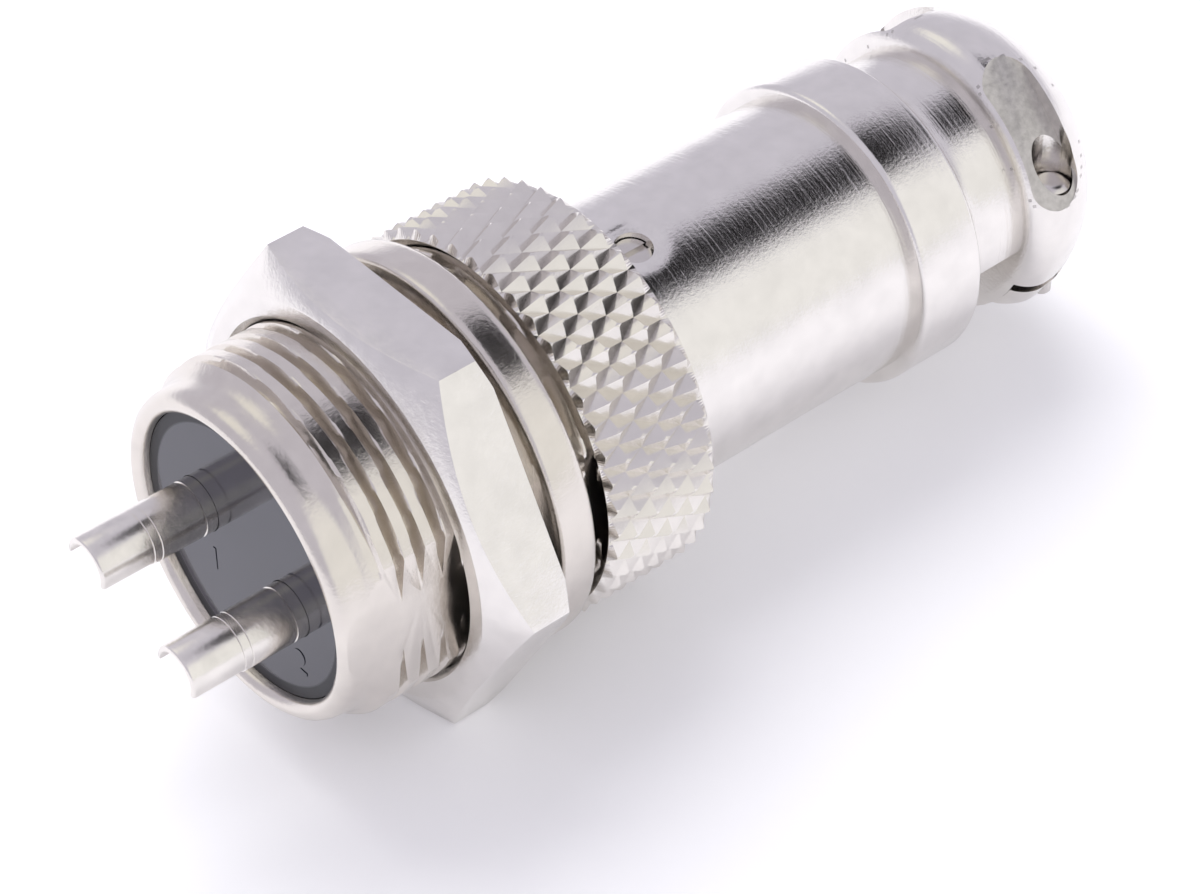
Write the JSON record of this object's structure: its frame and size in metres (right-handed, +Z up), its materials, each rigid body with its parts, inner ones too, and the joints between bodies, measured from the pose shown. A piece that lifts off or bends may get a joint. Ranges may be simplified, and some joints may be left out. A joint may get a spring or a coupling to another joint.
{
  "type": "circular connector",
  "caption": "Mated circular connector: threaded panel socket with hex nut and solder cups, plug with knurled coupling ring and cable clamp.",
  "frame": {"origin": "on the connector axis at the socket flange's panel face", "axes": "+X along the connector axis towards the cable end, +Z up with a flat of the hex nut facing down"},
  "size_m": [0.0489, 0.022, 0.019],
  "materials": {
    "nickel": "bright nickel plate",
    "nickel_turned": "bright nickel plate over turned brass",
    "silver_plate": "plated contact metal",
    "steel_screw": "plated steel",
    "black_resin": "glossy moulded resin"
  },
  "bodies": {
    "socket": {"socket_shell": "nickel", "socket_insert": "black_resin", "pin_1": "silver_plate", "pin_2": "silver_plate"},
    "nut": {"panel_nut": "nickel"},
    "plug": {"plug_shell": "nickel_turned", "plug_insert": "black_resin", "contact_1": "silver_plate", "contact_2": "silver_plate", "insert_ring": "steel_screw", "rear_shell": "nickel_turned"},
    "ring": {"coupling_ring": "nickel"},
    "grub": {"set_screw": "steel_screw"},
    "saddle": {"clamp_saddle": "nickel_turned"},
    "screw_1": {"clamp_screw_1": "steel_screw"},
    "screw_2": {"clamp_screw_2": "steel_screw"}
  },
  "joints": [
    {"name": "nut_turn", "type": "hinge", "parent": "socket", "child": "nut", "pos_m": [-0.0026, 0, 0], "axis": [1, 0, 0], "continuous": true},
    {"name": "plug_slide", "type": "slide", "parent": "socket", "child": "plug", "axis": [1, 0, 0], "range_m": [0, 0.0035]},
    {"name": "ring_turn", "type": "hinge", "parent": "plug", "child": "ring", "pos_m": [0.0055, 0, 0], "axis": [1, 0, 0], "range_deg": [0, 1261]},
    {"name": "set_screw_turn", "type": "hinge", "parent": "plug", "child": "grub", "pos_m": [0.01043, -0.00114, 0.00589], "axis": [0, -0.1908, 0.9816], "continuous": true},
    {"name": "clamp_slide", "type": "slide", "parent": "plug", "child": "saddle", "axis": [0, 0, 1], "range_m": [-0.0012, 0.0004]},
    {"name": "clamp_screw_1_turn", "type": "hinge", "parent": "saddle", "child": "screw_1", "pos_m": [0.03073, -0.00575, -0.0035], "axis": [0, 0, 1], "range_deg": [-1081, 361]},
    {"name": "clamp_screw_2_turn", "type": "hinge", "parent": "saddle", "child": "screw_2", "pos_m": [0.03073, 0.00575, -0.0035], "axis": [0, 0, 1], "range_deg": [-1081, 361]}
  ],
  "couplings": [
    {"joint": "ring_turn", "follows": "plug_slide", "rad_per_m": 6283.2},
    {"joint": "clamp_screw_1_turn", "follows": "clamp_slide", "rad_per_m": 15708},
    {"joint": "clamp_screw_2_turn", "follows": "clamp_slide", "rad_per_m": 15708}
  ]
}
